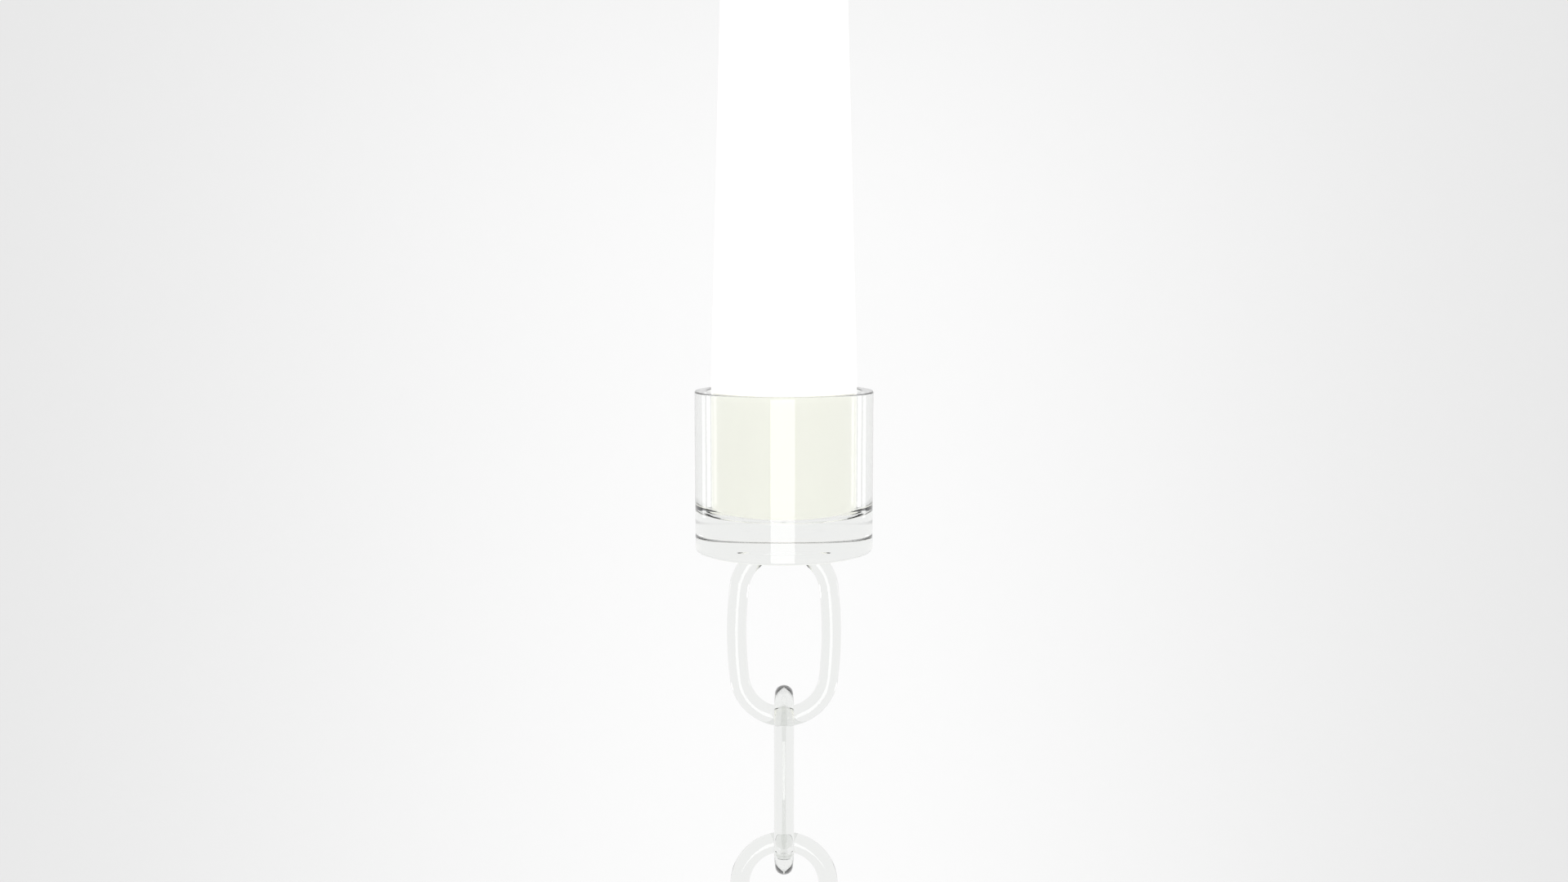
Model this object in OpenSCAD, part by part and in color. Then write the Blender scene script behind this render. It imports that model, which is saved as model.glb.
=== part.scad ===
// Hanging tube lamp: a tapered opal glass tube hangs from a turned cap and carries
// a thick clear glass end cup, from which a chain of clear glass oval links hangs.
// The origin is the centre of the suspension eye. +Z is up, and the eye's bore runs along Y.

/* [Suspension] */
// Diameter of the hole in the suspension eye
eye_bore_d = 8.5; // [6:0.5:12]
// Width of metal round that hole
eye_rim = 4.5; // [3:0.5:7]
// Thickness of the eye, along its bore
eye_thickness = 6; // [5:0.5:9]
// Diameter of the hub below the eye
hub_d = 16; // [15:0.5:18]
// Height of the hub, down to its flange's lower face
hub_len = 17; // [17:0.5:22]
// Diameter of the flange at the foot of the hub
flange_d = 18; // [17:0.5:20]
// Thickness of that flange and of the stop lug on it
flange_t = 3; // [2:0.25:3]
// Thread diameter of the hollow nipple
thread_d = 10; // [9:0.5:11]
// Wire way through the nipple
wireway_d = 6.8; // [5:0.2:7.5]
// Cable diameter that the side inlet takes
inlet_d = 5; // [3:0.5:5.5]
// Diameter of the dowel that stops the swivel
stop_d = 3; // [2:0.5:4]

/* [Cap] */
// Thickness of the cap's side wall
cap_wall = 2; // [1.5:0.25:4]
// Thickness of the cap's top
cap_top_t = 4; // [3:0.5:7]
// Height of the chamber that holds the regulator
chamber_h = 22.7; // [22:0.5:40]
// Height of the skirt round the glass, below the carrier's seat
skirt_h = 18; // [14:1:30]
// Width of the ledge that the carrier seats against
ledge_w = 2; // [1.5:0.25:3]
// Diameter of the three set screws in the skirt
cap_screw_d = 3; // [2.5:0.5:4]

/* [Opal tube] */
// Outer diameter at the top, under the lip
tube_top_d = 30.4; // [28:0.5:38]
// Outer diameter of the parallel foot inside the cup
tube_foot_d = 47.2; // [40:0.4:48]
// Length of the tapered part, from the cup's rim to the top of the lip
taper_len = 290; // [200:5:400]
// Glass wall
tube_wall = 2.5; // [2:0.25:3.5]
// Thickness of the closed bottom
tube_floor = 3; // [2:0.5:5]
// How far the lip stands out
lip_w = 2.3; // [1.5:0.1:3]
// Thickness of the lip
lip_h = 3; // [2:0.25:5]

/* [Glass cup] */
// Outer diameter of the cup
cup_d = 58; // [57:0.5:76]
// Wall of the cup
cup_wall = 4; // [3:0.25:4.5]
// Height of the cup
cup_h = 52; // [40:1:80]
// Thickness of the solid base
cup_base = 11.5; // [8:0.5:18]
// Polished bevel on the cup's edges
cup_bevel = 0.5; // [0.2:0.1:1]
// Thickness of the clear bonding pad under the tube
pad_t = 0.5; // [0.3:0.1:1]

/* [Glass chain] */
// Outer width of a link
link_w = 37.8; // [32:0.2:46]
// Outer height of a link
link_h = 63.4; // [54:0.2:76.2]
// Diameter of the glass rod
rod_d = 6.5; // [5:0.1:8]
// Radius of the bowed sides, at the rod's centre
side_r = 130; // [90:5:200]
// Height of the fused loop's centre below the cup's base
loop_drop = 28.4; // [26:0.2:30]
// Gap where two links hang in each other
link_gap = 0.3; // [0.2:0.05:0.6]

/* [Light engine] */
// Side of the square aluminium spine
spine_w = 11; // [8:0.5:12]
// Width of a light strip
strip_w = 8; // [6:0.5:8]
// Thickness of a light strip
strip_t = 1; // [0.8:0.1:1.6]
// Distance between two light-emitting packages
led_pitch = 12.5; // [8:0.5:25]
// Height of the silicone foot under the spine
foot_h = 6; // [4:0.5:10]

/* [Hidden] */
$fn = 96;

fit = 0.05;            // radial clearance of a part in its own seat
turn_fit = 0.06;       // radial clearance of the cap on the nipple
turn_gap = 0.3;        // axial gap between the hub and the cap that turns under it
carry_gap = 0.3;       // axial gap between the slip washer and the nut that carries it
slack = 0.5;           // radial clearance round the lip and the boards
over = 1;              // how far a cutter runs past the face it cuts
hex_r = 0.85;          // socket of a set screw, over its corners
hex_depth = 1.5;       // and its depth

// Suspension, from the eye down
eye_r = eye_bore_d / 2 + eye_rim;
hub_top = -eye_r + 2;
hub_foot = hub_top - hub_len;
inlet_z = hub_top - 5.6;
hub_roof = 2.5;        // metal above the hub's bore
bushing_r = inlet_d / 2 + 1;
boss_r = bushing_r + 1.5;
boss_face = hub_d / 2 + 1;
bushing_lip_t = 1;
bushing_inner_end = thread_d / 2;
nipple_top = inlet_z - bushing_r - 1;
cap_top = hub_foot - turn_gap;
cap_ceiling = cap_top - cap_top_t;
washer_t = 1;
washer_r = thread_d / 2 + 4;
nut_top = cap_ceiling - washer_t - carry_gap;
nut_h = 5;
nut_r = (thread_d / 2 + 2) / cos(30);
nipple_end = nut_top - nut_h - 1.5;
set_screw_d = 3;
set_screw_z = hub_foot + flange_t + set_screw_d / 2 + 0.3;

// Swivel stop
stop_r = flange_d / 2 + stop_d / 2 + 1;
stop_depth = 2.5;
lug_w = 4;
lug_reach = stop_r + stop_d / 2;

// Cap, and what seats in it
lip_r = tube_top_d / 2 + lip_w;
seat_r = lip_r + slack;
cap_r = seat_r + cap_wall;
chamber_r = seat_r - ledge_w;
ledge_z = cap_ceiling - chamber_h;
cap_foot = ledge_z - skirt_h;
cap_bevel = 1;
carrier_t = 3;
gasket_t = 1;
tube_top = ledge_z - carrier_t - gasket_t;
cap_screw_z = tube_top - lip_h - cap_screw_d / 2;
cap_screw_tip = tube_top_d / 2 + 0.5;
cap_screw_sink = 0.4;

// Cup and tube, below the cap
rim_z = tube_top - taper_len;
cavity_floor = rim_z - cup_h + cup_base;
base_z = rim_z - cup_h;
tube_end = cavity_floor + pad_t;
tube_bevel = 0.6;
foot_r = tube_foot_d / 2;
tube_inside_end = tube_end + tube_floor;

// Radius of the tube's inner wall at a height
function inner_r(z) = z < rim_z ? foot_r - tube_wall
  : foot_r - tube_wall - (foot_r - tube_top_d / 2) * (z - rim_z) / taper_len;

// Light engine
carrier_face = ledge_z - carrier_t;
spine_end = tube_inside_end + foot_h / 2;
spine_bore_d = 3.4;
strip_top = carrier_face - 6;
strip_end = spine_end + 4;
strip_face = spine_w / 2 + strip_t;
led_len = 3.5;
led_w = 2.8;
led_t = 0.8;
led_margin = 9;
led_count = floor((strip_top - strip_end - 2 * led_margin) / led_pitch) + 1;
wire_d = 1.4;
spider_t = 2;
spider_hole = 2 * strip_face + 0.6;
spider_gap = 0.3;
led_top = strip_top - led_margin;
spider_upper_row = floor(led_count * 0.35);
spider_lower_row = floor(led_count * 0.75);

// Underside of a spider that sits midway between two rows of packages
function spider_z(row) = led_top - led_pitch * row - (led_pitch - led_len + spider_t) / 2;

// Regulator
board_t = 1.6;
board_r = chamber_r - 1;
board_top = nipple_end - 2.2;
board_bottom = board_top - board_t;
spacer_h = board_bottom - ledge_z;
spacer_d = 4;
spacer_ring = board_r - 3;
board_hole_d = wireway_d;
small_screw_d = 2;
screw_grip = 4;
screw_head_h = 1.3;
block_l = 10;
block_h = 7;
block_w = board_r - 1.5 - (washer_r + 0.4);

// Oval link: the rod's centre line is four arcs that meet in line
rod_a = (link_w - rod_d) / 2;
rod_b = (link_h - rod_d) / 2;
end_r = (rod_a * rod_a + rod_b * rod_b - 2 * rod_a * side_r) / (2 * (rod_b - side_r));
end_z = rod_b - end_r;
join_angle = atan(end_z / (side_r - rod_a));
link_pitch = link_h - 2 * rod_d - link_gap;
weld_rise = 0.03;
weld_len = 0.8;
loop_z = base_z - loop_drop;

// A stretch of glass rod bent on a radius, in the XZ plane
module rod_arc(radius, from, to) {
  rotate([90, 0, 0])
    rotate([0, 0, from])
      rotate_extrude(angle = to - from)
        translate([radius, 0])
          circle(d = rod_d);
}

// The slight collar of the weld where an end arc meets a side
module rod_weld(angle) {
  rotate([90, 0, 0])
    rotate([0, 0, angle])
      translate([end_r, 0, 0])
        rotate([90, 0, 0])
          cylinder(d = rod_d + 2 * weld_rise, h = weld_len, center = true);
}

// A closed oval link that lies in the XZ plane, with its centre at the origin
module oval_link() {
  translate([0, 0, end_z]) {
    rod_arc(end_r, join_angle, 180 - join_angle);
    rod_weld(join_angle);
    rod_weld(180 - join_angle);
  }
  translate([0, 0, -end_z]) {
    rod_arc(end_r, 180 + join_angle, 360 - join_angle);
    rod_weld(180 + join_angle);
    rod_weld(-join_angle);
  }
  translate([side_r - rod_a, 0, 0]) rod_arc(side_r, 180 - join_angle, 180 + join_angle);
  translate([rod_a - side_r, 0, 0]) rod_arc(side_r, -join_angle, join_angle);
}

// A hanging link: every second one is turned a quarter
module hung_link(count) {
  translate([0, 0, loop_z - count * link_pitch])
    rotate([0, 0, 90 * (count % 2)])
      oval_link();
}

// A cylinder between two heights
module bar(radius, low, high) {
  translate([0, 0, low]) cylinder(r = radius, h = high - low);
}

// Repeats its children three times round the axis
module three_round(first = 0) {
  for (i = [0:2]) rotate([0, 0, first + 120 * i]) children();
}

module suspension_loop() {
  color("silver") difference() {
    union() {
      rotate([90, 0, 0]) cylinder(r = eye_r, h = eye_thickness, center = true);
      bar(hub_d / 2, hub_foot, hub_top);
      bar(flange_d / 2, hub_foot, hub_foot + flange_t);
      translate([0, 0, inlet_z]) rotate([-90, 0, 0]) cylinder(r = boss_r, h = boss_face);
      translate([0, -lug_w / 2, hub_foot]) cube([lug_reach, lug_w, flange_t]);
    }
    rotate([90, 0, 0]) cylinder(d = eye_bore_d, h = eye_thickness + 2 * over, center = true);
    bar(thread_d / 2 + fit, hub_foot - over, hub_top - hub_roof);
    translate([0, 0, inlet_z]) rotate([-90, 0, 0]) cylinder(r = bushing_r + fit, h = boss_face + over);
    translate([0, 0, set_screw_z]) rotate([90, 0, 0]) cylinder(d = set_screw_d + 2 * fit, h = hub_d);
  }
}

module cable_bushing() {
  color("dimgray") translate([0, 0, inlet_z]) rotate([-90, 0, 0]) difference() {
    union() {
      translate([0, 0, bushing_inner_end]) cylinder(r = bushing_r, h = boss_face - bushing_inner_end);
      translate([0, 0, boss_face]) cylinder(r = boss_r, h = bushing_lip_t);
    }
    cylinder(d = inlet_d, h = boss_face + bushing_lip_t + over);
  }
}

module loop_set_screw() {
  tip = thread_d / 2;
  color("dimgray") translate([0, 0, set_screw_z]) rotate([90, 0, 0]) difference() {
    translate([0, 0, tip]) cylinder(d = set_screw_d, h = hub_d / 2 - 0.3 - tip);
    translate([0, 0, hub_d / 2 - hex_depth]) cylinder(r = hex_r, h = hex_depth + over, $fn = 6);
  }
}

module threaded_nipple() {
  color("silver") difference() {
    bar(thread_d / 2, nipple_end, nipple_top);
    bar(wireway_d / 2, nipple_end - over, nipple_top + over);
  }
}

module nipple_nut() {
  color("silver") difference() {
    translate([0, 0, nut_top - nut_h]) cylinder(r = nut_r, h = nut_h, $fn = 6);
    bar(thread_d / 2 + fit, nut_top - nut_h - over, nut_top + over);
  }
}

module slip_washer() {
  color("ivory") difference() {
    bar(washer_r, cap_ceiling - washer_t, cap_ceiling);
    bar(thread_d / 2 + turn_fit, cap_ceiling - washer_t - over, cap_ceiling + over);
  }
}

module stop_dowel() {
  color("dimgray") translate([-stop_r, 0, 0]) bar(stop_d / 2, cap_top - stop_depth, hub_foot + flange_t);
}

module top_cap() {
  color("silver") difference() {
    rotate_extrude() polygon([
      [thread_d / 2 + turn_fit, cap_top],
      [cap_r - cap_bevel, cap_top],
      [cap_r, cap_top - cap_bevel],
      [cap_r, cap_foot],
      [seat_r, cap_foot],
      [seat_r, ledge_z],
      [chamber_r, ledge_z],
      [chamber_r, cap_ceiling],
      [thread_d / 2 + turn_fit, cap_ceiling]
    ]);
    translate([-stop_r, 0, 0]) bar(stop_d / 2 + fit, cap_top - stop_depth, cap_top + over);
    three_round(30) translate([0, 0, cap_screw_z])
      rotate([0, 90, 0]) cylinder(d = cap_screw_d + 2 * fit, h = cap_r + over);
  }
}

module cap_screws() {
  outer_end = cap_r - cap_screw_sink;
  color("dimgray") three_round(30) translate([0, 0, cap_screw_z]) rotate([0, 90, 0]) difference() {
    translate([0, 0, cap_screw_tip]) cylinder(d = cap_screw_d, h = outer_end - cap_screw_tip);
    translate([0, 0, outer_end - hex_depth]) cylinder(r = hex_r, h = hex_depth + over, $fn = 6);
  }
}

module carrier_plate() {
  color("ivory") difference() {
    bar(seat_r - 0.2, carrier_face, ledge_z);
    bar(2 + fit, carrier_face - over, ledge_z + over);
    for (side = [-1, 1]) translate([side * (strip_face + wire_d / 2), 0, 0])
      bar(wire_d / 2 + fit, carrier_face - over, ledge_z + over);
  }
}

module lip_gasket() {
  color("gainsboro") difference() {
    bar(lip_r, tube_top, tube_top + gasket_t);
    bar(tube_top_d / 2 - 1, tube_top - over, tube_top + gasket_t + over);
  }
}

module regulator_board() {
  color("seagreen") difference() {
    bar(board_r, board_bottom, board_top);
    bar(board_hole_d / 2, board_bottom - over, board_top + over);
    three_round(60) translate([spacer_ring, 0, 0])
      bar(small_screw_d / 2 + fit, board_bottom - over, board_top + over);
  }
}

module board_parts() {
  coil_h = min(6, spacer_h - 1);
  chip_h = 1.6;
  color("dimgray") {
    translate([0, board_r * 0.5, 0]) bar(3.5, board_bottom - coil_h, board_bottom);
    translate([-board_r * 0.55, -board_r * 0.3, 0]) bar(2.5, board_bottom - coil_h, board_bottom);
    translate([-2.5, -board_r * 0.65, board_bottom - chip_h]) cube([5, 4, chip_h]);
  }
}

module terminal_block() {
  color("seagreen") translate([washer_r + 0.4, -block_l / 2, board_top]) difference() {
    cube([block_w, block_l, block_h]);
    for (y = [block_l / 4, block_l * 3 / 4])
      translate([block_w / 2, y, block_h - 3]) cylinder(d = block_w * 0.6, h = 4);
  }
}

module board_spacers() {
  color("gold") three_round(60) translate([spacer_ring, 0, 0]) difference() {
    bar(spacer_d / 2, ledge_z, board_bottom);
    bar(small_screw_d / 2 + fit, board_bottom - screw_grip - 1, board_bottom + over);
  }
}

module board_screws() {
  color("silver") three_round(60) translate([spacer_ring, 0, 0]) {
    bar(small_screw_d / 2, board_bottom - screw_grip, board_top);
    bar(small_screw_d * 0.9, board_top, board_top + screw_head_h);
  }
}

module spine_screw() {
  grip = 9;
  head_r = 3.4;
  head_h = 2.2;
  color("silver") {
    bar(spine_bore_d / 2 - fit, carrier_face - grip, ledge_z);
    bar(head_r, ledge_z, ledge_z + head_h);
  }
}

module led_spine() {
  color("gainsboro") difference() {
    translate([-spine_w / 2, -spine_w / 2, spine_end]) cube([spine_w, spine_w, carrier_face - spine_end]);
    bar(spine_bore_d / 2, spine_end - over, carrier_face + over);
  }
}

// One light strip, turned to its side of the spine
module led_strip(turn) {
  color("white") rotate([0, 0, turn]) translate([-strip_w / 2, -strip_face, strip_end])
    cube([strip_w, strip_t, strip_top - strip_end]);
}

module led_packages() {
  color("khaki") for (turn = [0:90:270], i = [0:led_count - 1])
    rotate([0, 0, turn])
      translate([-led_w / 2, -strip_face - led_t, led_top - led_pitch * i])
        cube([led_w, led_t, led_len]);
}

module lead_wires() {
  color("firebrick") for (side = [-1, 1]) translate([side * (strip_face + wire_d / 2), 0, 0])
    bar(wire_d / 2, strip_top - 4, board_bottom);
}

// A clear disc that keeps the spine in the middle of the tube
module spider(z) {
  color("lightcyan") difference() {
    bar(inner_r(z) - spider_gap, z, z + spider_t);
    translate([-spider_hole / 2, -spider_hole / 2, z - over])
      cube([spider_hole, spider_hole, spider_t + 2 * over]);
    for (turn = [45:90:315]) rotate([0, 0, turn])
      translate([(spider_hole * 0.71 + inner_r(z)) / 2, 0, 0]) bar(1.4, z - over, z + spider_t + over);
  }
}

module spine_foot() {
  wall = 1.5;
  color("gainsboro") difference() {
    bar(spine_w * 0.71 + wall, tube_inside_end, tube_inside_end + foot_h);
    translate([-spine_w / 2 - fit, -spine_w / 2 - fit, spine_end])
      cube([spine_w + 2 * fit, spine_w + 2 * fit, foot_h]);
  }
}

module opal_tube() {
  top_r = tube_top_d / 2;
  color("white") rotate_extrude() polygon([
    [0, tube_end],
    [foot_r - tube_bevel, tube_end],
    [foot_r, tube_end + tube_bevel],
    [foot_r, rim_z],
    [top_r, tube_top - lip_h],
    [lip_r, tube_top - lip_h],
    [lip_r, tube_top],
    [top_r - tube_wall, tube_top],
    [foot_r - tube_wall, rim_z],
    [foot_r - tube_wall, tube_inside_end],
    [0, tube_inside_end]
  ]);
}

module bond_pad() {
  color("lightcyan") bar(foot_r - tube_bevel - 1, cavity_floor, tube_end);
}

module glass_cup() {
  outer = cup_d / 2;
  cavity = outer - cup_wall;
  color("lightcyan") rotate_extrude() polygon([
    [0, base_z],
    [outer - cup_bevel, base_z],
    [outer, base_z + cup_bevel],
    [outer, rim_z - cup_bevel],
    [outer - cup_bevel, rim_z],
    [cavity + cup_bevel, rim_z],
    [cavity, rim_z - cup_bevel],
    [cavity, cavity_floor],
    [0, cavity_floor]
  ]);
}

// The first link, whose top is fused into the cup: only what stands below the base is here
module cup_loop() {
  color("lightcyan") difference() {
    translate([0, 0, loop_z]) oval_link();
    translate([-link_w, -link_w, base_z]) cube([2 * link_w, 2 * link_w, link_h]);
  }
}

module link_2() { color("lightcyan") hung_link(1); }
module link_3() { color("lightcyan") hung_link(2); }
module link_4() { color("lightcyan") hung_link(3); }

suspension_loop();
cable_bushing();
loop_set_screw();
threaded_nipple();
nipple_nut();
slip_washer();
stop_dowel();
top_cap();
cap_screws();
carrier_plate();
lip_gasket();
regulator_board();
board_parts();
terminal_block();
board_spacers();
board_screws();
spine_screw();
led_spine();
led_strip(0);  // led_strip_front
led_strip(180);  // led_strip_back
led_strip(270);  // led_strip_left
led_strip(90);  // led_strip_right
led_packages();
lead_wires();
spider(spider_z(spider_upper_row));  // spider_upper
spider(spider_z(spider_lower_row));  // spider_lower
spine_foot();
opal_tube();
bond_pad();
glass_cup();
cup_loop();
link_2();
link_3();
link_4();
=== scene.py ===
"""Looks of a hanging tube lamp: opal tube, clear end cup, glass chain and turned cap."""

import logging
import math
from dataclasses import dataclass
from enum import Enum
from typing import Iterable

import bmesh
import bpy
from mathutils import Matrix, Vector

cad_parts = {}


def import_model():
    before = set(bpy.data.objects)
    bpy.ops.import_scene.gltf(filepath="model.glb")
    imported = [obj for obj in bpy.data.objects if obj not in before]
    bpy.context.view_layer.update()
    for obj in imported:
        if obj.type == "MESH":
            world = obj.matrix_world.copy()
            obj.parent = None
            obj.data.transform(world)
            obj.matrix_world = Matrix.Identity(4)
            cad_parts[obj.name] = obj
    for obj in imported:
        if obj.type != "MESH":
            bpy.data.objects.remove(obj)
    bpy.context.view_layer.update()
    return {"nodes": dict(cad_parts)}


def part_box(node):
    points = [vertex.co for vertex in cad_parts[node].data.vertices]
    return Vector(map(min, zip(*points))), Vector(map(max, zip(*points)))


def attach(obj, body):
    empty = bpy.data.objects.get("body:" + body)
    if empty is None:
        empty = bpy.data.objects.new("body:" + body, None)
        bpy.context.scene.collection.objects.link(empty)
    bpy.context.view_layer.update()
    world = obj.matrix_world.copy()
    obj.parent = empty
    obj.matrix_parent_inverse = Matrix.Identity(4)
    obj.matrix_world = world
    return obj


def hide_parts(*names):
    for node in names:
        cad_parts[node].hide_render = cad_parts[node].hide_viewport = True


log = logging.getLogger("tube_lamp")

MM = 0.001
FULL_TURN = 2 * math.pi
SHARP = math.radians(32)
SKIN = 0.02  # how far two bonded surfaces run into each other, in millimetres
FIT = 0.05  # radial clearance of a part in its own seat, in millimetres
CLOUD_RATIO = 9  # how much coarser the cloud of tones is than the fine marks
DRAWN_RATIO = 0.03  # how far marks are drawn out along the length

# Screws and their holes, in millimetres
COUNTERSINK_DEPTH = 0.25
COUNTERSINK_FLARE = 0.6
CUTTER_PROUD = 0.35
SCREW_CHAMFER = 0.25
KEY_DEPTH = 1.2


class Axis(Enum):
    """Direction that a turned shape's own axis is laid along."""

    UP = "Z"
    FRONT = "-Y"
    BACK = "Y"
    SIDE = "X"

    def matrix(self) -> Matrix:
        """Turn that takes +Z to this direction."""
        turns = {
            Axis.UP: Matrix.Identity(4),
            Axis.FRONT: Matrix.Rotation(math.radians(90), 4, "X"),
            Axis.BACK: Matrix.Rotation(math.radians(-90), 4, "X"),
            Axis.SIDE: Matrix.Rotation(math.radians(90), 4, "Y"),
        }
        return turns[self]


# ---------------------------------------------------------------- materials


def colour(code: str, alpha: float = 1.0) -> tuple[float, float, float, float]:
    """Turns an sRGB hex code into a linear colour.

    Args:
        code: six hex digits, without the hash sign.
        alpha: opacity.

    Returns:
        Linear red, green, blue and alpha.
    """
    parts = [int(code[i : i + 2], 16) / 255 for i in (0, 2, 4)]
    linear = [c / 12.92 if c <= 0.04045 else ((c + 0.055) / 1.055) ** 2.4 for c in parts]
    return (*linear, alpha)


def node(tree: bpy.types.NodeTree, kind: str, inputs: dict | None = None, **settings) -> bpy.types.Node:
    """Adds a node, its settings and what goes into it.

    Args:
        tree: node tree that gets the node.
        kind: node type, without its "ShaderNode" start.
        inputs: socket name or number, to a value or to another node's output.
        settings: attributes of the node.

    Returns:
        The new node.
    """
    made = tree.nodes.new("ShaderNode" + kind)
    for name, value in settings.items():
        setattr(made, name, value)
    for name, value in (inputs or {}).items():
        if isinstance(value, bpy.types.NodeSocket):
            tree.links.new(value, made.inputs[name])
        else:
            made.inputs[name].default_value = value
    return made


class Pattern(Enum):
    """Course that the fine marks of a surface follow."""

    CLOUD = "even in every direction"
    TURNED = "rings round the Z axis"
    DRAWN = "streaks along the Z axis"
    ACROSS = "rings round the Y axis"


@dataclass(frozen=True)
class Finish:
    """A real surface: its colours, its gloss and the fine marks that its making left."""

    name: str
    light: str
    dark: str
    pattern: Pattern
    grain_mm: float
    depth_mm: float
    rough_low: float
    rough_high: float
    metallic: float = 0.0
    ior: float = 1.5
    transmission: float = 0.0
    coat: float = 0.0
    subsurface: float = 0.0
    glow: float = 0.0
    glow_light: str = "FFFFFF"
    glow_dark: str = "FFFFFF"

    def coordinates(self, tree: bpy.types.NodeTree) -> bpy.types.NodeSocket:
        """Object coordinates, folded so that the pattern runs the way the tool did.

        Args:
            tree: the material's node tree.

        Returns:
            Socket with the coordinates in metres.
        """
        place = node(tree, "TexCoord").outputs["Object"]
        if self.pattern is Pattern.CLOUD:
            return place
        parts = node(tree, "SeparateXYZ", {0: place}).outputs
        if self.pattern is Pattern.DRAWN:
            squeezed = node(tree, "Math", {0: parts["Z"], 1: DRAWN_RATIO}, operation="MULTIPLY").outputs[0]
            return node(tree, "CombineXYZ", {"X": parts["X"], "Y": parts["Y"], "Z": squeezed}).outputs[0]
        along = "Z" if self.pattern is Pattern.TURNED else "Y"
        other = "Y" if self.pattern is Pattern.TURNED else "Z"
        flat = node(tree, "CombineXYZ", {"X": parts["X"], "Y": parts[other]}).outputs[0]
        radius = node(tree, "VectorMath", {0: flat}, operation="LENGTH").outputs["Value"]
        return node(tree, "CombineXYZ", {"X": radius, "Z": parts[along]}).outputs[0]

    def material(self) -> bpy.types.Material:
        """Makes the material, or gives back the one made before."""
        made = bpy.data.materials.get(self.name)
        if made is not None:
            return made
        made = bpy.data.materials.new(self.name)
        made.use_nodes = True
        tree = made.node_tree
        tree.nodes.clear()
        place = self.coordinates(tree)
        marks = node(
            tree,
            "TexNoise",
            {"Vector": place, "Scale": 1 / (self.grain_mm * MM), "Detail": 3.0, "Roughness": 0.55},
        ).outputs["Fac"]
        cloud = node(
            tree,
            "TexNoise",
            {"Vector": place, "Scale": 1 / (CLOUD_RATIO * self.grain_mm * MM), "Detail": 2.0},
        ).outputs["Fac"]
        tone = node(
            tree,
            "Mix",
            {"Factor": cloud, "A": colour(self.dark), "B": colour(self.light)},
            data_type="RGBA",
        )
        rough = node(
            tree,
            "MapRange",
            {
                "Value": marks,
                "From Min": 0.3,
                "From Max": 0.7,
                "To Min": self.rough_low,
                "To Max": self.rough_high,
            },
        ).outputs[0]
        bump = node(
            tree,
            "Bump",
            {"Height": marks, "Strength": 1.0, "Distance": self.depth_mm * MM},
        ).outputs[0]
        shader = node(
            tree,
            "BsdfPrincipled",
            {
                "Base Color": tone.outputs["Result"],
                "Roughness": rough,
                "Normal": bump,
                "Metallic": self.metallic,
                "IOR": self.ior,
                "Transmission Weight": self.transmission,
                "Coat Weight": self.coat,
                "Coat Roughness": 0.08,
                "Subsurface Weight": self.subsurface,
                "Subsurface Scale": 2 * MM,
                "Emission Strength": self.glow,
            },
        )
        if self.glow:
            lit = node(
                tree,
                "Mix",
                {"Factor": cloud, "A": colour(self.glow_dark), "B": colour(self.glow_light)},
                data_type="RGBA",
            )
            tree.links.new(lit.outputs["Result"], shader.inputs["Emission Color"])
        node(tree, "OutputMaterial", {"Surface": shader.outputs[0]})
        return made


# Drawn and fire-polished tube and rod: perfectly clear, with a slow ripple that bends its highlights.
CLEAR_GLASS = Finish(
    "Fire-polished borosilicate glass", "F1F2F1", "F0F1EF", Pattern.CLOUD, 9.0, 0.0006, 0.0, 0.0,
    ior=1.474, transmission=1.0,
)
# Blown opal casing over clear glass: milky, glossy, and lit evenly from the inside.
OPAL_GLASS = Finish(
    "Blown opal glass", "E2E2DA", "DEDFD5", Pattern.CLOUD, 6.0, 0.002, 0.05, 0.09,
    ior=1.5, glow=0.52, glow_light="FFFEF6", glow_dark="FDFCF2",
)
# Turned brass, nickel plated and left satin: soft rings from the tool show in its highlights.
SATIN_NICKEL = Finish(
    "Turned satin nickel plate", "BFBAB1", "B2ADA4", Pattern.TURNED, 0.35, 0.004, 0.24, 0.36,
    metallic=1.0,
)
# The same plate on the milled eye, whose tool marks run round the bore.
SATIN_NICKEL_EYE = Finish(
    "Milled satin nickel plate", "BFBAB1", "B2ADA4", Pattern.ACROSS, 0.35, 0.004, 0.24, 0.36,
    metallic=1.0,
)
# Steel screws with a hot oxide skin: almost black, with a dull oily sheen.
BLACK_OXIDE = Finish(
    "Black oxide steel", "2A2A2C", "1C1C1E", Pattern.CLOUD, 0.25, 0.006, 0.30, 0.45, metallic=0.85,
)
# Zinc plated steel: bright, slightly blue, with a fine crystalline grain.
ZINC_STEEL = Finish(
    "Zinc plated steel", "C3C7CC", "B4B8BD", Pattern.CLOUD, 0.20, 0.003, 0.22, 0.34, metallic=1.0,
)
# Free-cutting brass left raw from the lathe: warm, with bright rings.
TURNED_BRASS = Finish(
    "Turned free-cutting brass", "D9B36A", "C79D52", Pattern.TURNED, 0.30, 0.006, 0.18, 0.30,
    metallic=1.0,
)
# Extruded aluminium, mill finish: pale streaks along the length.
MILL_ALUMINIUM = Finish(
    "Extruded aluminium, mill finish", "D2D4D6", "C3C5C8", Pattern.DRAWN, 0.40, 0.004, 0.28, 0.42,
    metallic=1.0,
)
# Injection moulded nylon: warm white, slightly waxy.
MOULDED_NYLON = Finish(
    "Moulded nylon", "EDEAE0", "E4E0D4", Pattern.CLOUD, 0.30, 0.008, 0.42, 0.55,
    ior=1.53, subsurface=0.15,
)
# Moulded rubber: near black, with a soft spark-eroded grain.
MOULDED_RUBBER = Finish(
    "Moulded EPDM rubber", "262627", "1B1B1C", Pattern.CLOUD, 0.22, 0.015, 0.62, 0.78, ior=1.5,
)
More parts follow.
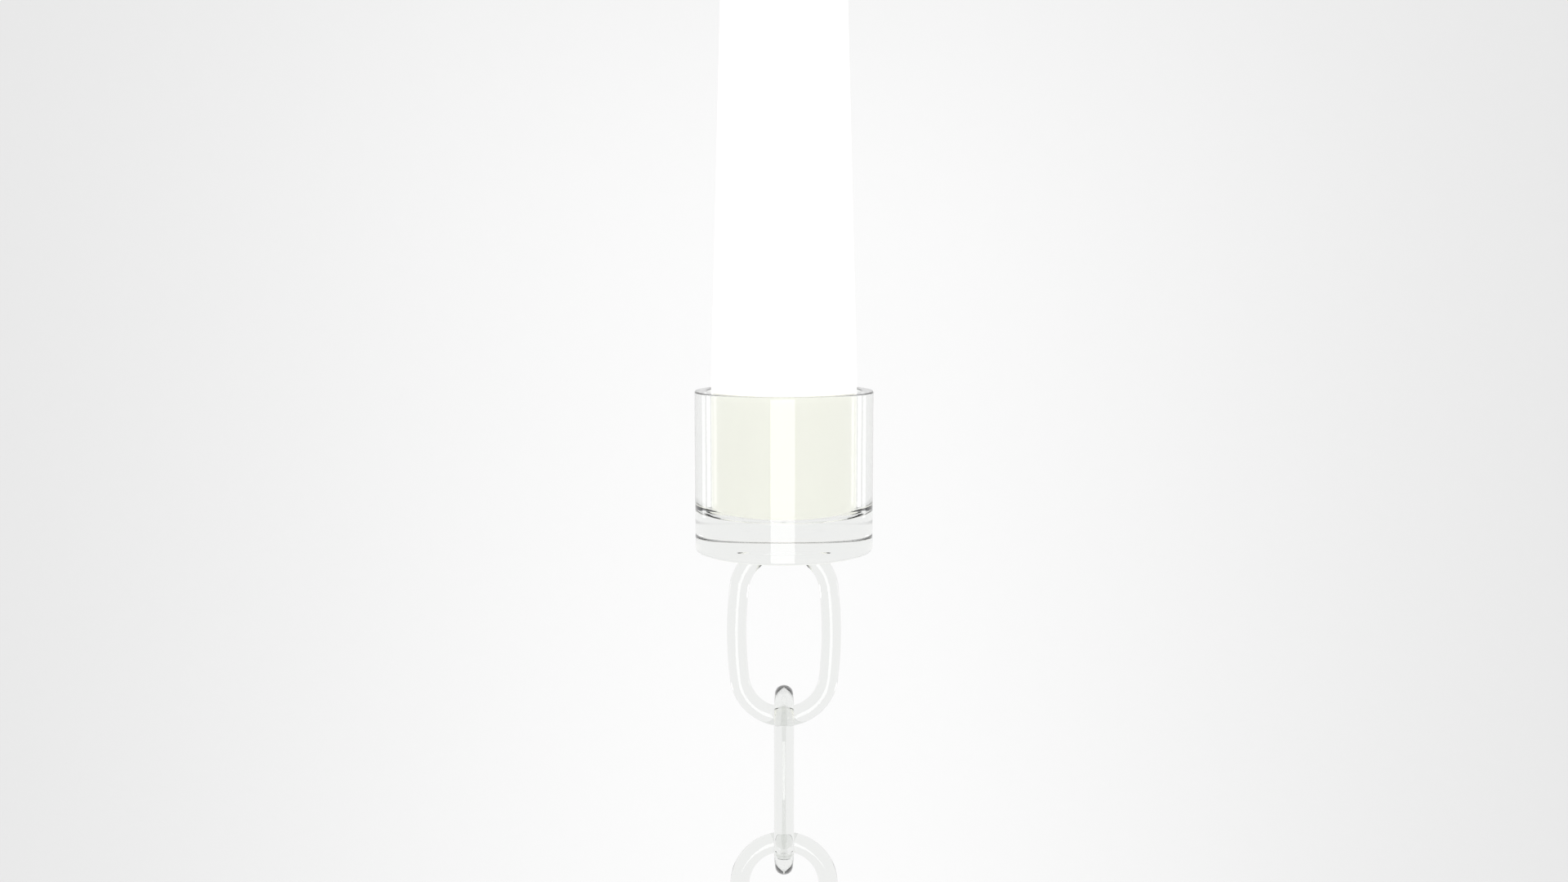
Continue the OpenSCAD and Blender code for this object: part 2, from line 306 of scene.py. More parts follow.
# Pressed silicone: milky and slightly see-through.
PRESSED_SILICONE = Finish(
    "Pressed translucent silicone", "E6E8E7", "DCDFDE", Pattern.CLOUD, 0.35, 0.010, 0.35, 0.50,
    ior=1.41, transmission=0.35, subsurface=0.2,
)
# Epoxy laminate under green solder resist: glossy, with a faint weave in it.
BOARD_GREEN = Finish(
    "Green solder resist on laminate", "1E6B43", "17583A", Pattern.CLOUD, 0.50, 0.006, 0.22, 0.34,
    coat=0.3,
)
# Aluminium-backed laminate under white solder resist.
BOARD_WHITE = Finish(
    "White solder resist on laminate", "F3F3EF", "E9E9E4", Pattern.CLOUD, 0.50, 0.006, 0.25, 0.38,
    coat=0.2,
)
# Moulded polyamide of the terminal block.
TERMINAL_GREEN = Finish(
    "Moulded polyamide", "3C8A4F", "327A45", Pattern.CLOUD, 0.25, 0.010, 0.40, 0.55, ior=1.53,
)
# Transfer-moulded epoxy of the electronic components.
MOULDED_EPOXY = Finish(
    "Transfer-moulded epoxy", "2B2B2B", "202020", Pattern.CLOUD, 0.15, 0.010, 0.50, 0.65, ior=1.55,
)
# Silicone filled with phosphor powder, on each light-emitting package.
PHOSPHOR = Finish(
    "Phosphor in silicone", "F4DE7A", "E8CC5C", Pattern.CLOUD, 0.30, 0.010, 0.35, 0.50,
    ior=1.41, glow=1.2, glow_light="FFF6DC", glow_dark="FFF2D0",
)
# Extruded sleeve of the lead wires.
EXTRUDED_SLEEVE = Finish(
    "Extruded silicone sleeve", "A32622", "8E1F1C", Pattern.DRAWN, 0.30, 0.008, 0.35, 0.48, ior=1.41,
)
# Moulded clear polycarbonate of the centring discs.
CLEAR_POLYCARBONATE = Finish(
    "Moulded clear polycarbonate", "F6FAFB", "EFF5F7", Pattern.CLOUD, 1.5, 0.004, 0.02, 0.06,
    ior=1.585, transmission=0.95,
)
# Matt paper backdrop, without a join.
BACKDROP_PAPER = Finish(
    "Matt backdrop paper", "E0E0E0", "DFDFDF", Pattern.CLOUD, 3.0, 0.01, 0.9, 1.0, ior=1.3,
)

INNER_FINISHES: dict[str, Finish] = {
    "threaded_nipple": TURNED_BRASS,
    "nipple_nut": TURNED_BRASS,
    "slip_washer": MOULDED_NYLON,
    "stop_dowel": BLACK_OXIDE,
    "carrier_plate": MOULDED_NYLON,
    "lip_gasket": PRESSED_SILICONE,
    "regulator_board": BOARD_GREEN,
    "board_parts": MOULDED_EPOXY,
    "terminal_block": TERMINAL_GREEN,
    "board_spacers": TURNED_BRASS,
    "board_screws": ZINC_STEEL,
    "spine_screw": ZINC_STEEL,
    "led_spine": MILL_ALUMINIUM,
    "led_strip_front": BOARD_WHITE,
    "led_strip_back": BOARD_WHITE,
    "led_strip_left": BOARD_WHITE,
    "led_strip_right": BOARD_WHITE,
    "led_packages": PHOSPHOR,
    "lead_wires": EXTRUDED_SLEEVE,
    "spider_upper": CLEAR_POLYCARBONATE,
    "spider_lower": CLEAR_POLYCARBONATE,
    "spine_foot": PRESSED_SILICONE,
}


# ---------------------------------------------------------------- mesh work


def turned(bm: bmesh.types.BMesh, profile: list[tuple[float, float]], steps: int, place: Matrix) -> None:
    """Turns a profile round an axis, as a lathe would.

    Args:
        bm: mesh that gets the shape.
        profile: radius and height of each corner, in millimetres; it closes on itself or on the axis.
        steps: number of faces round.
        place: where the turned shape goes.
    """
    points = [bm.verts.new(place @ Vector((r * MM, 0, z * MM))) for r, z in profile]
    on_axis = abs(profile[0][0]) < 1e-6 and abs(profile[-1][0]) < 1e-6
    edges = [bm.edges.new(pair) for pair in zip(points, points[1:])]
    if not on_axis:
        edges.append(bm.edges.new((points[-1], points[0])))
    bmesh.ops.spin(
        bm,
        geom=points + edges,
        cent=place.to_translation(),
        axis=place.to_3x3() @ Vector((0, 0, 1)),
        angle=FULL_TURN,
        steps=steps,
        use_merge=True,
    )


def rounded(
    profile: list[tuple[float, float, float]], steps: int = 5, hold: float = 0.12,
) -> list[tuple[float, float]]:
    """Rounds a profile's corners, with a narrow holding face beside each one that keeps the flats flat.

    Args:
        profile: radius, height and corner radius of each corner, in millimetres.
        steps: number of chords round a corner.
        hold: width of a holding face.

    Returns:
        Radius and height of each point of the rounded profile.
    """
    out: list[tuple[float, float]] = []
    count = len(profile)
    for i, (x, y, r) in enumerate(profile):
        if r <= 0:
            out.append((x, y))
            continue
        here = Vector((x, y))
        before = Vector(profile[i - 1][:2]) - here
        after = Vector(profile[(i + 1) % count][:2]) - here
        back, ahead = before.normalized(), after.normalized()
        half = back.angle(ahead) / 2
        run = r / math.tan(half)
        centre = here + (back + ahead).normalized() * (r / math.sin(half))
        start = here + back * run - centre
        sweep = start.angle_signed(here + ahead * run - centre)
        if before.length > 2 * (run + hold):
            out.append(tuple(here + back * (run + hold)))
        for k in range(steps + 1):
            turn = Matrix.Rotation(-sweep * k / steps, 2)
            out.append(tuple(centre + turn @ start))
        if after.length > 2 * (run + hold):
            out.append(tuple(here + ahead * (run + hold)))
    return out


def finished(bm: bmesh.types.BMesh, name: str, finish: Finish, sharp: float = SHARP) -> bpy.types.Object:
    """Closes a mesh, points its faces outwards, and makes it an object with its material.

    Args:
        bm: the mesh, which is freed.
        name: name of the object.
        finish: surface that it gets.
        sharp: angle past which an edge stays sharp, in radians.

    Returns:
        The object, at the origin.
    """
    bmesh.ops.remove_doubles(bm, verts=bm.verts, dist=0.000002)
    bmesh.ops.recalc_face_normals(bm, faces=bm.faces)
    for face in bm.faces:
        face.smooth = True
    for edge in bm.edges:
        edge.smooth = edge.calc_face_angle(0.0) < sharp
    mesh = bpy.data.meshes.new(name)
    bm.to_mesh(mesh)
    bm.free()
    mesh.materials.append(finish.material())
    made = bpy.data.objects.new(name, mesh)
    bpy.context.scene.collection.objects.link(made)
    return made


def combined(
    base: bpy.types.Object, other: bpy.types.Object, operation: str, name: str, finish: Finish,
    sharp: float = SHARP,
) -> bpy.types.Object:
    """Joins two closed pieces exactly, or cuts one out of the other.

    Args:
        base: the piece that stays.
        other: the piece that is added or cut away.
        operation: "UNION" or "DIFFERENCE".
        name: name of the result.
        finish: surface of the result.
        sharp: angle past which an edge stays sharp, in radians.

    Returns:
        The new object; the two others are removed.
    """
    work = base.modifiers.new("combine", "BOOLEAN")
    work.operation = operation
    work.solver = "EXACT"
    work.object = other
    ready = base.evaluated_get(bpy.context.evaluated_depsgraph_get())
    bm = bmesh.new()
    bm.from_mesh(ready.to_mesh())
    for spare in (base, other):
        bpy.data.objects.remove(spare)
    return finished(bm, name, finish, sharp)


def drill(bm: bmesh.types.BMesh, radius: float, depth: float, outside: float, place: Matrix) -> None:
    """Adds the shape that a drill and a countersink take away.

    Args:
        bm: mesh that gets the shape.
        radius: radius of the hole in millimetres.
        depth: distance of the hole's end from the axis's origin.
        outside: distance of the drilled face from that origin.
        place: where it goes; the drill points along +Z.
    """
    profile = [
        (0, depth),
        (radius, depth),
        (radius, outside - COUNTERSINK_DEPTH),
        (radius + COUNTERSINK_FLARE, outside + CUTTER_PROUD),
        (0, outside + CUTTER_PROUD),
    ]
    turned(bm, profile, 48, place)


def placed(piece: bpy.types.Object, body: str, replaces: Iterable[str] = ()) -> None:
    """Joins a piece to its CAD body and reports it.

    Args:
        piece: the object.
        body: CAD body that it moves with.
        replaces: CAD nodes that it stands for.
    """
    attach(piece, body)
    if replaces:
        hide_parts(*replaces)
    log.info("%s: %d faces, rides on %s", piece.name, len(piece.data.polygons), body)


def socket_screw(bm: bmesh.types.BMesh, radius: float, length: float, key: float, place: Matrix) -> None:
    """Adds a headless screw with a hexagon socket at its outer end.

    Args:
        bm: mesh that gets the screw.
        radius: thread radius in millimetres.
        length: length in millimetres, from z = 0 to the socket end.
        key: width across the socket's flats in millimetres.
        place: where it goes; its length runs along +Z.
    """
    fresh = bmesh.new()
    bmesh.ops.create_cone(
        fresh, cap_ends=True, segments=48, radius1=radius * MM, radius2=radius * MM, depth=length * MM,
        matrix=Matrix.Translation((0, 0, length * MM / 2)),
    )
    top = max(fresh.faces, key=lambda f: f.calc_center_median().z)
    foot = min(fresh.faces, key=lambda f: f.calc_center_median().z)
    rims = list({e for f in (top, foot) for e in f.edges})
    bmesh.ops.bevel(
        fresh, geom=rims, offset=SCREW_CHAMFER * MM, affect="EDGES", segments=2, profile=0.5, material=-1,
    )
    top = max(fresh.faces, key=lambda f: f.calc_center_median().z)
    bmesh.ops.delete(fresh, geom=[top], context="FACES_ONLY")
    rim = [e for e in fresh.edges if e.is_boundary]
    key_hole = bmesh.ops.create_circle(
        fresh, cap_ends=False, segments=6, radius=key / math.sqrt(3) * MM,
        matrix=Matrix.Translation((0, 0, length * MM)),
    )["verts"]
    hexagon = list({e for v in key_hole for e in v.link_edges})
    bmesh.ops.subdivide_edges(fresh, edges=hexagon, cuts=7)
    inner = [e for e in fresh.edges if e.is_wire]
    bmesh.ops.bridge_loops(fresh, edges=rim + inner)
    walls = bmesh.ops.extrude_edge_only(fresh, edges=[e for e in fresh.edges if e.is_boundary])["geom"]
    low = [g for g in walls if isinstance(g, bmesh.types.BMVert)]
    bmesh.ops.translate(fresh, verts=low, vec=(0, 0, -KEY_DEPTH * MM))
    floor_rim = [g for g in walls if isinstance(g, bmesh.types.BMEdge) and g.is_boundary]
    bmesh.ops.contextual_create(fresh, geom=floor_rim)
    bmesh.ops.transform(fresh, matrix=place, verts=fresh.verts)
    bmesh.ops.recalc_face_normals(fresh, faces=fresh.faces)
    spare = bpy.data.meshes.new("spare")
    fresh.to_mesh(spare)
    fresh.free()
    bm.from_mesh(spare)
    bpy.data.meshes.remove(spare)


# ---------------------------------------------------------------- sub-assemblies


@dataclass
class HungCap:
    """The suspension fitting and the turned cap below it, in millimetres from the eye's centre."""

    eye_bore: float = 8.5
    eye_rim: float = 4.5
    eye_thickness: float = 6.0
    eye_sink: float = 2.0
    neck_foot_r: float = 7.4
    neck_top_r: float = 4.2
    neck_h: float = 3.2
    neck_rise: float = 0.8
    neck_flat: float = 0.42
    hub_d: float = 16.0
    hub_len: float = 17.0
    hub_roof: float = 2.5
    flange_d: float = 18.0
    flange_t: float = 3.0
    inlet_d: float = 5.0
    inlet_drop: float = 5.6
    sleeve_t: float = 1.0
    sleeve_start: float = 5.0
    boss_wall: float = 2.5
    boss_rise: float = 1.0
    boss_root: float = 3.0
    hole_end: float = 2.0
    nipple_d: float = 10.0
    lug_w: float = 4.0
    lug_reach: float = 13.0
    lug_round: float = 0.4
    cap_r: float = 20.0
    seat_r: float = 18.0
    chamber_r: float = 16.0
    cap_top_t: float = 4.0
    chamber_h: float = 22.7
    skirt_h: float = 18.0
    turn_gap: float = 0.3
    nipple_bore_r: float = 5.06
    screw_d: float = 3.0
    screw_key: float = 1.5
    screw_sink: float = 0.3
    screw_rise: float = 0.3
    skirt_screw_sink: float = 0.4
    screw_tip: float = 15.7
    screw_angles: tuple[float, ...] = (30, 150, 270)
    groove_drops: tuple[float, ...] = (9.0, 11.4)
    groove_depth: float = 0.35
    groove_round: float = 0.12
    wide_faces: int = 192
    faces: int = 128
    small_faces: int = 64

    @property
    def eye_r(self) -> float:
        """Outer radius of the eye."""
        return self.eye_bore / 2 + self.eye_rim

    @property
    def hub_top(self) -> float:
        """Height of the hub's upper face."""
        return self.eye_sink - self.eye_r

    @property
    def hub_foot(self) -> float:
        """Height of the flange's lower face."""
        return self.hub_top - self.hub_len

    @property
    def inlet_z(self) -> float:
        """Height of the cable inlet's axis."""
        return self.hub_top - self.inlet_drop

    @property
    def hub_screw_z(self) -> float:
        """Height of the hub's set screw."""
        return self.hub_foot + self.flange_t + self.screw_d / 2 + self.screw_rise

    def fitting(self) -> bpy.types.Object:
        """Turned hub with its flange, stop lug and cable boss."""
        bm = bmesh.new()
        hub, flange = self.hub_d / 2, self.flange_d / 2
        step = self.hub_foot + self.flange_t
        wall = self.nipple_d / 2 + FIT
        roof = self.hub_top - self.hub_roof
        profile = rounded([
            (0, self.hub_top, 0),
            (hub, self.hub_top, 1.1),
            (hub, step, 0.8),
            (flange, step, 0.5),
            (flange, self.hub_foot, 0.3),
            (wall, self.hub_foot, 0),
            (wall, roof, 0),
            (0, roof, 0),
        ])
        turned(bm, profile, self.faces, Matrix.Identity(4))
        boss = self.inlet_d / 2 + self.boss_wall
        face = hub + self.boss_rise
        throat = self.inlet_d / 2 + self.sleeve_t + FIT
        inlet = Matrix.Translation((0, 0, self.inlet_z * MM)) @ Axis.BACK.matrix()
        cutter = bmesh.new()
        cut = throat + SKIN
        throat_cut = [(0, self.hole_end), (cut, self.hole_end), (cut, face), (0, face)]
        turned(cutter, throat_cut, self.small_faces, inlet)
        screw = Matrix.Translation((0, 0, self.hub_screw_z * MM)) @ Axis.FRONT.matrix()
        drill(cutter, self.screw_d / 2 + FIT, self.hole_end, hub, screw)
        blank = finished(bm, "hub_blank", SATIN_NICKEL)
        holes = finished(cutter, "hub_holes", SATIN_NICKEL)
        drilled = combined(blank, holes, "DIFFERENCE", "hub", SATIN_NICKEL)
        bm = bmesh.new()
        bm.from_mesh(drilled.data)
        bpy.data.objects.remove(drilled)
        root = hub - self.boss_root
        turned(
            bm,
            rounded([(throat, root, 0), (throat, face, 0), (boss, face, 0.4), (boss, root, 0)]),
            self.small_faces,
            inlet,
        )
        lug = bmesh.ops.create_cube(bm, size=1.0)["verts"]
        lug_size = Vector((self.lug_reach - hub, self.lug_w, self.flange_t)) * MM
        bmesh.ops.scale(bm, verts=lug, vec=lug_size)
        bmesh.ops.translate(
            bm, verts=lug,
            vec=((self.lug_reach + hub) / 2 * MM, 0, (self.hub_foot + self.flange_t / 2) * MM),
        )
        edges = list({e for v in lug for e in v.link_edges})
        bmesh.ops.bevel(
            bm, geom=edges, offset=self.lug_round * MM, affect="EDGES", segments=3, profile=0.5,
            material=-1,
        )
        return finished(bm, "turned_fitting", SATIN_NICKEL)

    def eye(self) -> bpy.types.Object:
        """Milled eye that stands on the hub, with a neck that runs into it."""
        bm = bmesh.new()
        half = self.eye_thickness / 2
        bore = self.eye_bore / 2
        profile = rounded([
            (bore, -half, 0.7),
            (self.eye_r, -half, 1.0),
            (self.eye_r, half, 1.0),
            (bore, half, 0.7),
        ])
        turned(bm, profile, self.faces, Axis.BACK.matrix())
        neck = bmesh.ops.create_cone(
            bm, cap_ends=True, segments=96, depth=self.neck_h * MM,
            radius1=self.neck_foot_r * MM, radius2=self.neck_top_r * MM,
            matrix=Matrix.Translation((0, 0, (self.hub_top + self.neck_rise) * MM)),
        )["verts"]
        bmesh.ops.scale(bm, verts=neck, vec=(1, self.neck_flat, 1))
        return finished(bm, "suspension_eye", SATIN_NICKEL_EYE)

    def bushing(self) -> bpy.types.Object:
        """Rubber bushing with a rounded lip, through which a cable can enter."""
        bm = bmesh.new()
        bore = self.inlet_d / 2
        sleeve = bore + self.sleeve_t
        lip = bore + self.boss_wall
        face = self.hub_d / 2 + self.boss_rise
        end = face + self.sleeve_t
        profile = rounded([
            (bore, self.sleeve_start, 0),
            (bore, end, 0.35),
            (lip, end, 0.45),
            (lip, face, 0),
            (sleeve, face, 0),
            (sleeve, self.sleeve_start, 0),
        ])
        turned(bm, profile, 72, Matrix.Translation((0, 0, self.inlet_z * MM)) @ Axis.BACK.matrix())
        return finished(bm, "inlet_bushing", MOULDED_RUBBER)

    def hub_screw(self) -> bpy.types.Object:
        """Set screw that locks the hub on its nipple."""
        bm = bmesh.new()
        tip = self.nipple_d / 2
        place = Matrix.Translation((0, -tip * MM, self.hub_screw_z * MM)) @ Axis.FRONT.matrix()
        socket_screw(bm, self.screw_d / 2, self.hub_d / 2 - self.screw_sink - tip, self.screw_key, place)
        return finished(bm, "hub_set_screw", BLACK_OXIDE)

    def shell(self, screw_z: float) -> bpy.types.Object:
        """Turned cap with a rounded shoulder, two fine grooves, a relieved foot and three screw holes.

        Args:
            screw_z: height of the screw holes in millimetres.
        """
        bm = bmesh.new()
        top = self.hub_foot - self.turn_gap
        ceiling = top - self.cap_top_t
        ledge = ceiling - self.chamber_h
        foot = ledge - self.skirt_h
        outer = [(self.nipple_bore_r, top, 0.2), (self.cap_r, top, 1.3)]
        for drop in self.groove_drops:
            level = top - drop
            outer += [
                (self.cap_r, level + self.groove_depth, self.groove_round),
                (self.cap_r - self.groove_depth, level, self.groove_round),
                (self.cap_r, level - self.groove_depth, self.groove_round),
            ]
        outer += [
            (self.cap_r, foot + 0.1, 0.1),
            (self.cap_r - 0.5, foot, 0.3),
            (self.seat_r + 0.3, foot, 0.2),
            (self.seat_r, foot + 0.4, 0.2),
            (self.seat_r, ledge, 0),
            (self.chamber_r, ledge, 0.1),
            (self.chamber_r, ceiling, 0.6),
            (self.nipple_bore_r, ceiling, 0.1),
        ]
        turned(bm, rounded(outer, 4), self.wide_faces, Matrix.Identity(4))
        cutter = bmesh.new()
        for place in self.screw_places(0, screw_z):
            drill(cutter, self.screw_d / 2 + FIT, self.seat_r - 1, self.cap_r, place)
        blank = finished(bm, "cap_blank", SATIN_NICKEL)
        holes = finished(cutter, "cap_holes", SATIN_NICKEL)
        return combined(blank, holes, "DIFFERENCE", "cap_shell", SATIN_NICKEL)

    def screw_places(self, reach: float, height: float) -> list[Matrix]:
        """Places of the three skirt screws.

        Args:
            reach: distance of a screw's tip from the lamp's axis in millimetres.
            height: height of the screws in millimetres.

        Returns:
            One matrix for each screw, whose +Z points outwards.
        """
        out = []
        for angle in self.screw_angles:
            turn = Matrix.Rotation(math.radians(angle), 4, "Z")
            out.append(turn @ Matrix.Translation((reach * MM, 0, height * MM)) @ Axis.SIDE.matrix())
        return out

    def skirt_screws(self, height: float) -> bpy.types.Object:
        """Three set screws that hold the tube under its lip.

        Args:
            height: height of their axes in millimetres.
        """
        bm = bmesh.new()
        length = self.cap_r - self.skirt_screw_sink - self.screw_tip
        for place in self.screw_places(self.screw_tip, height):
            socket_screw(bm, self.screw_d / 2, length, self.screw_key, place)
        return finished(bm, "skirt_set_screws", BLACK_OXIDE)

    def build(self) -> None:
        """Makes the pieces and joins them to their bodies."""
        placed(self.fitting(), "hanger", ["suspension_loop"])
        placed(self.eye(), "hanger")
        placed(self.bushing(), "hanger", ["cable_bushing"])
        placed(self.hub_screw(), "hanger", ["loop_set_screw"])
        low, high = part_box("cap_screws")
        height = (low[2] + high[2]) / 2 / MM
        placed(self.shell(height), "lamp", ["top_cap"])
        placed(self.skirt_screws(height), "lamp", ["cap_screws"])


@dataclass
class LitTube:
    """The tapered opal tube, in millimetres."""

    top_d: float = 30.4
    foot_d: float = 47.2
    wall: float = 2.5
    floor: float = 3.0
    lip_w: float = 2.3
    lip_h: float = 3.0
    heel: float = 2.6
    faces: int = 224

    def tube(self, foot: float, rim: float, top: float) -> bpy.types.Object:
        """Blown tube with a rounded heel, a fire-polished lip and a parallel foot.

        Args:
            foot: height of the closed end.
            rim: height where the taper starts, at the cup's rim.
            top: height of the lip's upper face.
        """
        bm = bmesh.new()
        r0, r1 = self.top_d / 2, self.foot_d / 2
        profile = rounded([
            (0, foot, 0),
            (r1, foot, self.heel),
            (r1, rim, 0),
            (r0, top - self.lip_h, 0.8),
            (r0 + self.lip_w, top - self.lip_h, 1.0),
            (r0 + self.lip_w, top, 1.0),
            (r0 - self.wall, top, 0.8),
            (r1 - self.wall, rim, 0),
            (r1 - self.wall, foot + self.floor, 1.2),
            (0, foot + self.floor, 0),
        ], 8)
        turned(bm, profile, self.faces, Matrix.Identity(4))
        return finished(bm, "opal_tube_glass", OPAL_GLASS)

    def build(self) -> None:
        """Makes the tube between the CAD tube's ends."""
        low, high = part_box("opal_tube")
        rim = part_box("glass_cup")[1][2] / MM
        placed(self.tube(low[2] / MM, rim, high[2] / MM), "lamp", ["opal_tube"])


@dataclass
class GlassChain:
    """The clear end cup with its fused loop, and the links that hang from it, in millimetres.

    The clear bond under the tube has the glass's own index, so it reads as part of the cup's floor.
    """

    cup_d: float = 58.0
    wall: float = 4.0
    base: float = 12.0
    rim_round: float = 0.5
    heel_round: float = 0.8
    cavity_round: float = 3.8
    link_w: float = 37.8
    link_h: float = 63.4
    rod_d: float = 6.5
    side_r: float = 130.0
    loop_drop: float = 28.4
    rod_faces: int = 48
    side_steps: int = 8
    end_steps: int = 56
    cup_faces: int = 256
    union_sharp: float = 40.0
    bodies: tuple[str, ...] = ("link_2", "link_3", "link_4")

    def oval(self, centre: float, turned_quarter: bool) -> bmesh.types.BMesh:
        """Bends a glass rod into a closed oval of four arcs.

        Args:
            centre: height of the oval's centre.
            turned_quarter: True for a link that lies in the YZ plane.

        Returns:
            The closed mesh.
        """
        a = (self.link_w - self.rod_d) / 2
        b = (self.link_h - self.rod_d) / 2
        end_r = (a * a + b * b - 2 * a * self.side_r) / (2 * (b - self.side_r))
        end_z = b - end_r
        join = math.atan(end_z / (self.side_r - a))
        bm = bmesh.new()
        ring = bmesh.ops.create_circle(
            bm, cap_ends=False, segments=self.rod_faces, radius=self.rod_d / 2 * MM,
            matrix=Matrix.Translation((a * MM, 0, 0)),
        )["verts"]
        last: list = ring + list({e for v in ring for e in v.link_edges})
        half_side = (a - self.side_r, 0.0, join, self.side_steps)
        end_sweep = math.pi - 2 * join
        arcs = [
            half_side,
            (0.0, end_z, end_sweep, self.end_steps),
            (self.side_r - a, 0.0, 2 * join, 2 * self.side_steps),
            (0.0, -end_z, end_sweep, self.end_steps),
            half_side,
        ]
        for x, z, sweep, steps in arcs:
            last = bmesh.ops.spin(
                bm, geom=last, cent=(x * MM, 0, z * MM), axis=(0, -1, 0), angle=sweep, steps=steps,
                use_merge=False,
            )["geom_last"]
        bmesh.ops.remove_doubles(bm, verts=bm.verts, dist=0.00001)
        turn = Matrix.Rotation(math.radians(90), 4, "Z") if turned_quarter else Matrix.Identity(4)
        bmesh.ops.transform(bm, matrix=Matrix.Translation((0, 0, centre * MM)) @ turn, verts=bm.verts)
        return bm

    def cup(self, foot: float, rim: float) -> bpy.types.Object:
        """Thick cup with rounded edges, and the loop fused into its base.

        Args:
            foot: height of the base's lower face.
            rim: height of the rim.
        """
        outer = self.cup_d / 2
        inner = outer - self.wall
        floor = foot + self.base
        bm = bmesh.new()
        profile = rounded([
            (0, foot, 0),
            (outer, foot, self.heel_round),
            (outer, rim, self.rim_round),
            (inner, rim, self.rim_round),
            (inner, floor + SKIN, self.cavity_round),
            (0, floor + SKIN, 0),
        ], 6)
        turned(bm, profile, self.cup_faces, Matrix.Identity(4))
        cup = finished(bm, "end_cup", CLEAR_GLASS)
        loop = finished(self.oval(foot - self.loop_drop, False), "loop_blank", CLEAR_GLASS)
        sharp = math.radians(self.union_sharp)
        return combined(cup, loop, "UNION", "end_cup_and_loop", CLEAR_GLASS, sharp)

    def build(self) -> bpy.types.Object:
        """Makes the cup with its loop, and the three hanging links.

        Returns:
            The cup.
        """
        low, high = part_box("glass_cup")
        cup = self.cup(low[2] / MM, high[2] / MM)
        placed(cup, "lamp", ["glass_cup", "cup_loop", "bond_pad"])
        for count, body in enumerate(self.bodies):
            bottom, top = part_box(body)
            centre = (bottom[2] + top[2]) / 2 / MM
            link = finished(self.oval(centre, count % 2 == 0), f"chain_{body}", CLEAR_GLASS)
            placed(link, body, [body])
        return cup


# ---------------------------------------------------------------- studio


